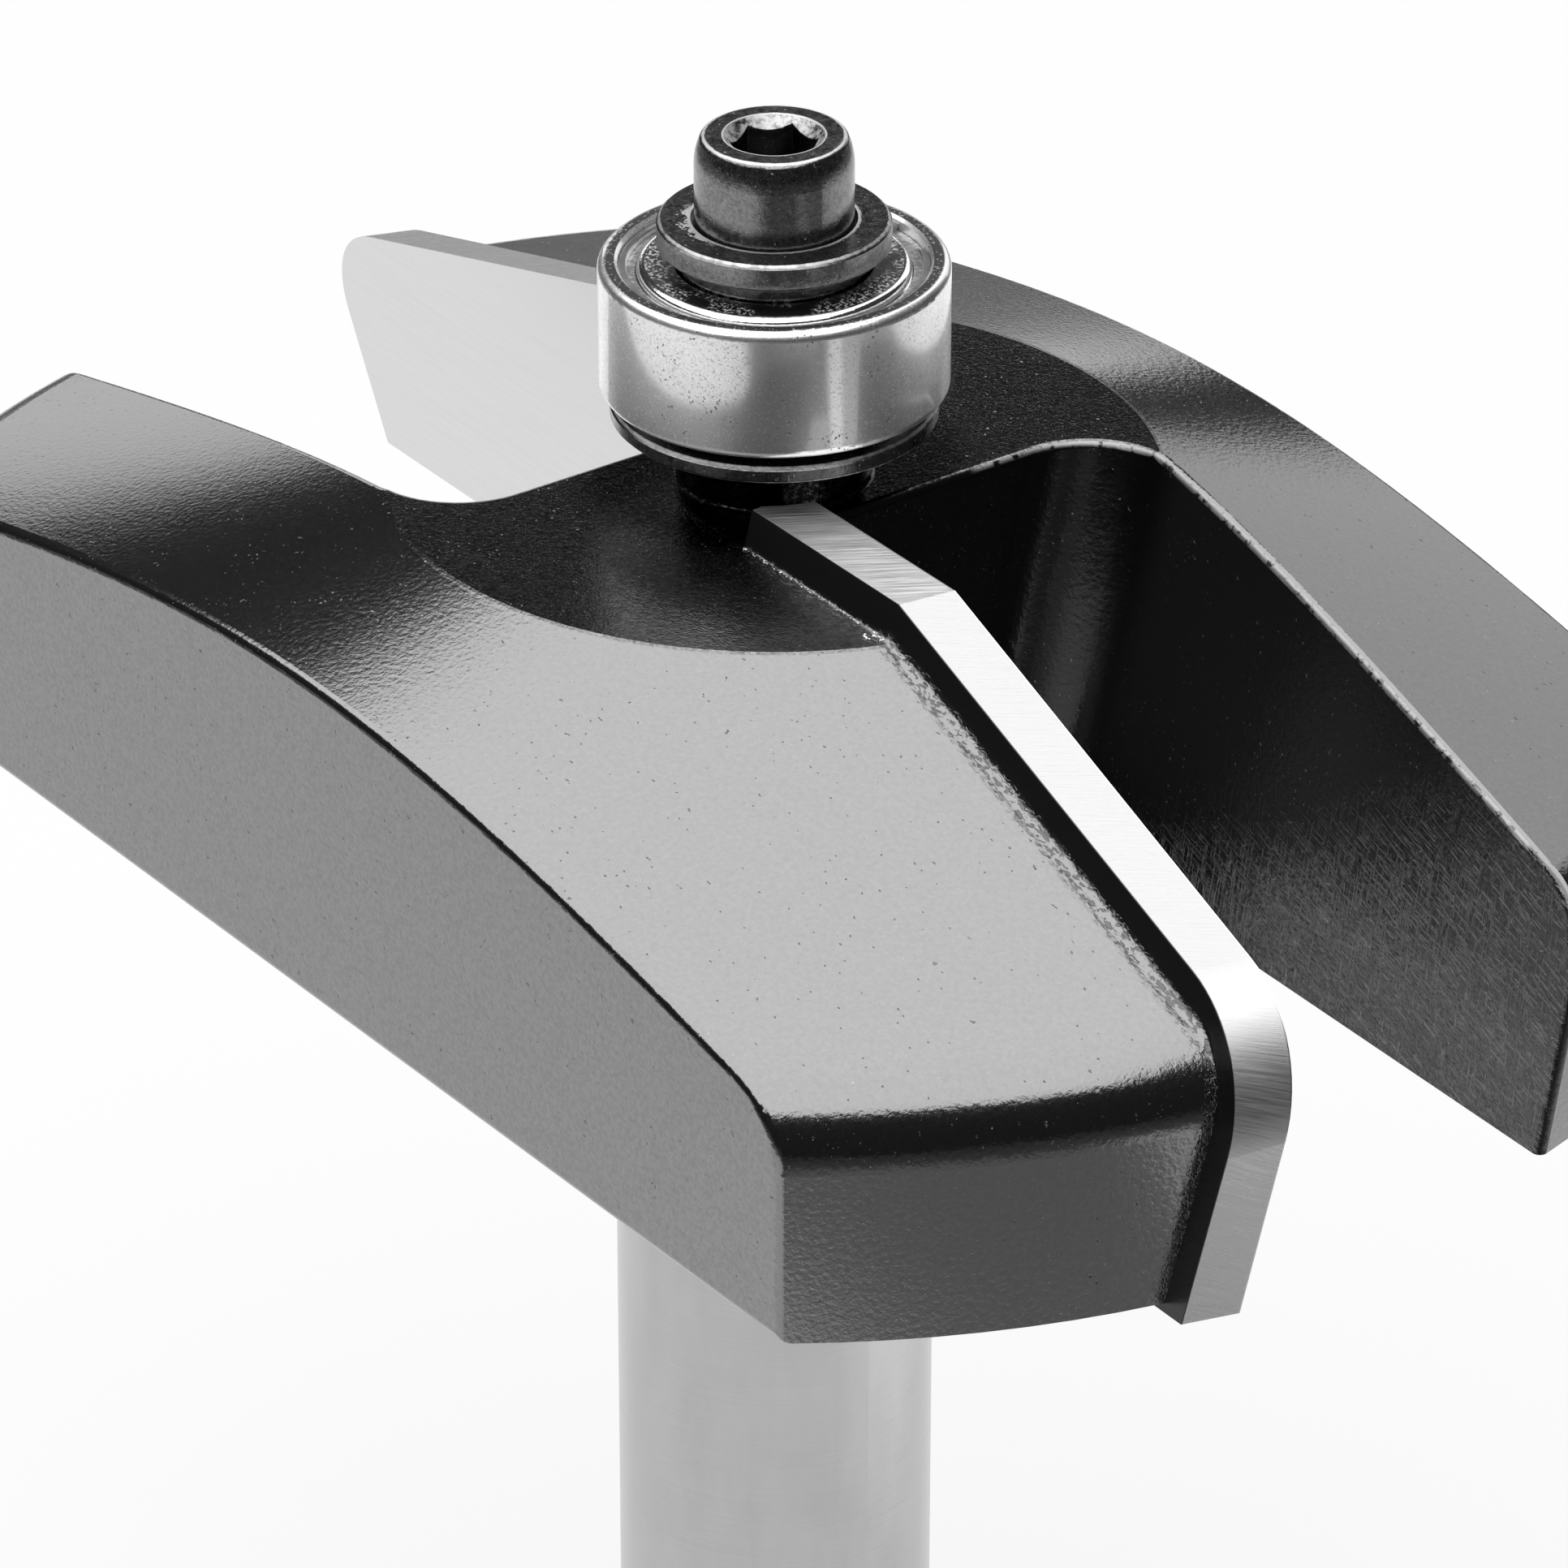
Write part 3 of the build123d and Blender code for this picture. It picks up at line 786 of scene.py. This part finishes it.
@dataclass
class CutterHead:
    """The coated head and shank, its carbide tips and the braze that holds them."""

    cove_start: float = 4.3
    cove_end: float = 34.4
    cove_steps: int = 260
    cove_rows: int = 6
    flat_cove: float = 0.12
    bevel_cove: float = 0.40
    lump_runs: tuple[LumpRun, ...] = (
        LumpRun(4.4, 0.1, (0.0, 0.15), 0.07, 6),
        LumpRun(8.6, 4.1, (0.05, 0.13), 0.04, 46),
        LumpRun(12.6, 0.35, (0.05, 0.55), 0.07, 14),
    )
    sink: float = 0.02
    weld: float = 0.0001
    seed: int = 7

    def behind(self, along: float, reach: float, rise: float) -> Vector:
        """A place behind the foot of the +X tip's back.

        Args:
            along: The distance out along the wing.
            reach: How far the place lies behind the foot.
            rise: How high it lies over the head's top.

        Returns:
            The place in millimetres.
        """
        back = SHAPE.backwards()
        flat_back = Vector((back.x, back.y)).normalized()
        place = Vector((along, SHAPE.tip_face_y - along * math.tan(SHAPE.tip_yaw) - SHAPE.foot_width()))
        place.y += (SHAPE.top_height(place.length) - SHAPE.head_top) * SHAPE.lean_slope
        place += flat_back * reach
        return Vector((place.x, place.y + rise * SHAPE.lean_slope, SHAPE.top_height(place.length) + rise))

    def cove_sizes(self, rng: random.Random) -> list[float]:
        """How wide the hollow run is at each step along it, in millimetres.

        Args:
            rng: The source of chance.

        Returns:
            The width at each step, wavering and narrow at both ends.
        """
        sizes = []
        waver = 1.0
        for step in range(self.cove_steps + 1):
            share = step / self.cove_steps
            along = self.cove_start + (self.cove_end - self.cove_start) * share
            waver += (rng.uniform(0.72, 1.28) - waver) * 0.25
            on_bevel = min(1.0, max(0.0, (along - 11.5) / 4.0))
            size = (self.flat_cove + (self.bevel_cove - self.flat_cove) * on_bevel) * waver
            sizes.append(size * min(1.0, 0.1 + share * 40, 0.1 + (1.0 - share) * 16))
        return sizes

    def cove_place(self, step: int, row: int, size: float) -> Vector:
        """Where one corner of the hollow run lies.

        Args:
            step: The step along the run.
            row: The row across it. The first and last share the corner sunk in the joint.
            size: The run's width there.

        Returns:
            The place in millimetres.
        """
        along = self.cove_start + (self.cove_end - self.cove_start) * step / self.cove_steps
        if row in (0, self.cove_rows + 2):
            return self.behind(along, -self.sink, -self.sink)
        turn = math.pi / 2 * (row - 1) / self.cove_rows
        return self.behind(along, size * (1.0 - math.sin(turn)), size * (1.0 - math.cos(turn)))

    def run_out(self, wing: Wing, coated: bpy.types.Material, bare: bpy.types.Material) -> bpy.types.Object:
        """Build the hollow run of braze along one tip's foot, with the bare lumps on it.

        Args:
            wing: The wing that it lies on.
            coated: The run's material.
            bare: The lumps' material.

        Returns:
            The new piece.
        """
        rng = random.Random(self.seed + int(wing.value))
        shape = bmesh.new()
        around = self.cove_rows + 2
        bmesh.ops.create_grid(shape, x_segments=self.cove_steps, y_segments=around, size=1.0)
        spots = {
            vert: (round((vert.co.x + 1.0) / 2 * self.cove_steps), round((vert.co.y + 1.0) / 2 * around))
            for vert in shape.verts
        }
        sizes = self.cove_sizes(rng)
        for vert, (step, row) in spots.items():
            vert.co = self.cove_place(step, row, sizes[step])
        for edge in shape.edges:
            rows = {spots[vert][1] for vert in edge.verts}
            edge.smooth = rows not in ({1}, {around - 1})
        bmesh.ops.remove_doubles(shape, verts=shape.verts, dist=self.weld)
        bmesh.ops.holes_fill(shape, edges=[edge for edge in shape.edges if edge.is_boundary], sides=0)
        run_faces = set(shape.faces)
        for run in self.lump_runs:
            for along, reach, size in run.places(rng):
                place = Matrix.Translation(self.behind(along, reach, size * 0.3))
                squash = Matrix.Diagonal((rng.uniform(0.8, 2.2), rng.uniform(0.6, 1.2), 0.8, 1.0))
                bmesh.ops.create_icosphere(shape, subdivisions=2, radius=size, matrix=place @ squash)
        for face in shape.faces:
            face.smooth = True
            face.material_index = int(face not in run_faces)
        bmesh.ops.rotate(shape, verts=shape.verts, cent=(0, 0, 0), matrix=Matrix.Rotation(wing.value, 3, "Z"))
        bmesh.ops.scale(shape, verts=shape.verts, vec=(MM, MM, MM))
        bmesh.ops.recalc_face_normals(shape, faces=shape.faces)
        name = "braze_run_1" if wing is Wing.FIRST else "braze_run_2"
        mesh = bpy.data.meshes.new(name)
        shape.to_mesh(mesh)
        shape.free()
        mesh.materials.append(coated)
        mesh.materials.append(bare)
        piece = bpy.data.objects.new(name, mesh)
        bpy.context.scene.collection.objects.link(piece)
        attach(piece, "cutter")
        log.info("built %s with %d faces", name, len(mesh.polygons))
        return piece

    def build(self) -> None:
        """Dress the head and tips and lay the runs of braze."""
        dress(CoatedHead().make(), "cutter_body", "braze_seam_1", "braze_seam_2")
        dress(GroundCarbide().make(), "carbide_tip_1", "carbide_tip_2")
        coated = RunBraze("coated_braze", bare=False).make()
        bare = RunBraze("bare_braze", bare=True).make()
        for wing in Wing:
            self.run_out(wing, coated, bare)


@dataclass
class GuideBearing:
    """The ball bearing that runs against the workpiece."""

    ball_count: int = 7

    def build(self) -> None:
        """Dress the rings, shields, wires, cage and balls."""
        dress(RingSteel().make(), "bearing_outer_ring")
        dress(PlainSteel("race_steel", 0.7, 0.15).make(), "bearing_inner_ring")
        dress(ShieldSteel().make(), "upper_shield", "lower_shield")
        dress(PlainSteel("spring_wire", 0.6, 0.3).make(), "upper_snap_ring", "lower_snap_ring")
        dress(CagePolymer().make(), "bearing_cage")
        balls = [f"bearing_ball_{number}" for number in range(1, self.ball_count + 1)]
        dress(PlainSteel("ball_steel", 0.75, 0.06).make(), *balls)


@dataclass
class ScrewStack:
    """The washers and the cap screw that hold the bearing on its stub."""

    flange_top: float = 64.998
    flange_bottom: float = 63.968
    flange_radius: float = 4.22
    counterbore_radius: float = 3.0
    lower_top: float = 57.95
    lower_radius: float = 5.95
    screw_top: float = 68.218
    screw_rim: float = 2.55
    mouth_radius: float = 1.83

    def build(self) -> None:
        """Dress each piece in oxide worn along its own edges."""
        washer = WornOxide(
            "worn_washer",
            (
                (self.flange_radius - 0.07, self.flange_top, 0.10),
                (self.flange_radius - 0.05, self.flange_bottom, 0.11),
                (self.counterbore_radius, self.flange_top, 0.15),
            ),
            (-112.0, self.counterbore_radius, self.flange_top, 0.8),
        )
        dress(washer.make(), "upper_washer")
        lower = WornOxide(
            "worn_lower_washer",
            (
                (self.lower_radius - 0.07, self.lower_top, 0.10),
                (self.lower_radius - 0.07, self.lower_top - 0.65, 0.10),
            ),
        )
        dress(lower.make(), "lower_washer")
        screw = WornOxide(
            "worn_screw",
            ((self.screw_rim, self.screw_top, 0.10), (self.mouth_radius, self.screw_top, 0.06)),
            socket=(self.mouth_radius, self.screw_top),
        )
        dress(screw.make(), "cap_screw")


# The studio


@dataclass(frozen=True)
class SoftBox:
    """One lamp: a glowing rectangle aimed at the bit.

    The direction is from the bit, in degrees about +Z from +X and up from the floor. Sizes and the
    distance are in metres, and the glow is its brightness, where 1 is white.
    """

    name: str
    azimuth: float
    elevation: float
    distance: float
    width: float
    height: float
    glow: float

    def hang(self, target: Vector) -> None:
        """Place the lamp.

        Args:
            target: The point it is aimed at.
        """
        light = bpy.data.lights.new(self.name, "AREA")
        light.shape = "RECTANGLE"
        light.size = self.width
        light.size_y = self.height
        light.energy = self.glow * math.pi * self.width * self.height
        turn, rise = math.radians(self.azimuth), math.radians(self.elevation)
        way = Vector((math.cos(turn) * math.cos(rise), math.sin(turn) * math.cos(rise), math.sin(rise)))
        lamp = bpy.data.objects.new(self.name, light)
        lamp.location = target + way * self.distance
        lamp.rotation_euler = way.to_track_quat("Z", "Y").to_euler()
        lamp.visible_camera = False
        bpy.context.scene.collection.objects.link(lamp)


@dataclass
class Studio:
    """Floor, lamps, world and camera."""

    target: Vector = Vector((0.0, 0.0, 0.055))
    floor_size: float = 6.0
    floor_grey: float = 0.10
    floor_glow: float = 0.86
    mirrored_glow: float = 1.06
    room_glow: float = 0.03
    camera_place: Vector = Vector((0.22200, -0.16199, 0.19221))
    camera_azimuth: float = 53.81
    camera_elevation: float = 28.665
    lens: float = 194.72
    boxes: tuple[SoftBox, ...] = (
        SoftBox("top_box", 240.0, 80.0, 0.55, 1.01, 1.03, 2.68),
        SoftBox("right_box", 116.0, 22.0, 0.70, 0.30, 0.58, 1.2),
        SoftBox("back_box", 148.45, 7.5, 0.80, 0.42, 0.23, 1.42),
    )

    def floor(self) -> None:
        """Lay the pale table.

        It glows a little for the camera, so that it looks white without more light. For glossy rays it glows
        as a painted reflection: a bright table with a brighter pool of light and a darker grey card painted
        in at the right, ending in darkness around the camera.
        """
        shape = bmesh.new()
        bmesh.ops.create_grid(shape, x_segments=1, y_segments=1, size=self.floor_size / 2)
        mesh = bpy.data.meshes.new("floor")
        shape.to_mesh(mesh)
        shape.free()
        piece = bpy.data.objects.new("floor", mesh)
        bpy.context.scene.collection.objects.link(piece)
        bench = Bench("pale_table")
        rays = bench.node("ShaderNodeLightPath").outputs
        for_metal = Field(bench, rays["Is Glossy Ray"])
        for_camera = Field(bench, rays["Is Camera Ray"]) + Field(bench, rays["Is Transmission Ray"])
        # Painted reflection: the card is a darker patch and the spill a brighter pool in the glow that glossy
        # rays see.
        right = bench.x.ramp(74.0, 90.0)
        card = right * bench.y.ramp(13.0, 21.0) * bench.y.ramp(110.0, 85.0) * 0.64
        slant = bench.y + (bench.x - 110.0) * 0.35
        card = card + right * slant.ramp(8.0, 3.0) * bench.y.ramp(-60.0, -100.0, 0.76, 0.96)
        reach = (bench.x * bench.x + bench.y * bench.y) ** 0.5
        spill = ((bench.x - 40.0) ** 2.0 + (bench.y - 44.0) ** 2.0) ** 0.5
        table = (self.mirrored_glow + spill.ramp(42.0, 14.0) * 0.45) * (1.0 - card)
        table = table * bench.x.ramp(124.0, 165.0, 1.0, self.room_glow) * reach.ramp(195.0, 275.0, 1.0, 0.1)
        tree = bench.material.node_tree
        matt = bench.node("ShaderNodeBsdfDiffuse")
        matt.inputs["Color"].default_value = (self.floor_grey, self.floor_grey, self.floor_grey, 1.0)
        light = bench.node("ShaderNodeEmission")
        bench.feed(light.inputs["Strength"], for_camera * self.floor_glow + for_metal * table)
        both = bench.node("ShaderNodeAddShader")
        tree.links.new(matt.outputs[0], both.inputs[0])
        tree.links.new(light.outputs[0], both.inputs[1])
        output = bench.node("ShaderNodeOutputMaterial")
        tree.links.new(both.outputs[0], output.inputs["Surface"])
        mesh.materials.append(bench.material)

    def world(self) -> None:
        """Keep the room dark behind the lamps, and white where the camera looks past the table."""
        world = bpy.data.worlds.new("studio")
        world.use_nodes = True
        tree = world.node_tree
        sky = tree.nodes["Background"]
        sky.inputs["Color"].default_value = (1.0, 1.0, 1.0, 1.0)
        rays = tree.nodes.new("ShaderNodeLightPath")
        larger = tree.nodes.new("ShaderNodeMath")
        larger.operation = "MAXIMUM"
        larger.inputs[1].default_value = self.room_glow
        tree.links.new(rays.outputs["Is Camera Ray"], larger.inputs[0])
        tree.links.new(larger.outputs[0], sky.inputs["Strength"])
        bpy.context.scene.world = world

    def camera(self) -> None:
        """Set the camera where the photograph was taken from."""
        data = bpy.data.cameras.new("photo_camera")
        data.lens = self.lens
        data.sensor_width = 36.0
        data.clip_start = 0.01
        turn, rise = math.radians(self.camera_azimuth), math.radians(self.camera_elevation)
        forward = Vector((-math.sin(turn) * math.cos(rise), math.cos(turn) * math.cos(rise), -math.sin(rise)))
        right = Vector((math.cos(turn), math.sin(turn), 0.0))
        up = right.cross(forward)
        frame = Matrix((right, up, -forward)).transposed().to_4x4()
        camera = bpy.data.objects.new("photo_camera", data)
        camera.matrix_world = Matrix.Translation(self.camera_place) @ frame
        bpy.context.scene.collection.objects.link(camera)
        bpy.context.scene.camera = camera

    def build(self) -> None:
        """Set everything up."""
        self.camera()
        self.world()
        self.floor()
        for box in self.boxes:
            box.hang(self.target)
        bpy.context.scene.view_settings.view_transform = "Standard"
        log.info("studio set with %d lamps", len(self.boxes))


def main() -> None:
    """Build the scene."""
    logging.basicConfig(level=logging.INFO, format="%(name)s: %(message)s")
    Studio().build()
    for part in (CutterHead(), GuideBearing(), ScrewStack()):
        part.build()


if __name__ == "__main__":
    main()
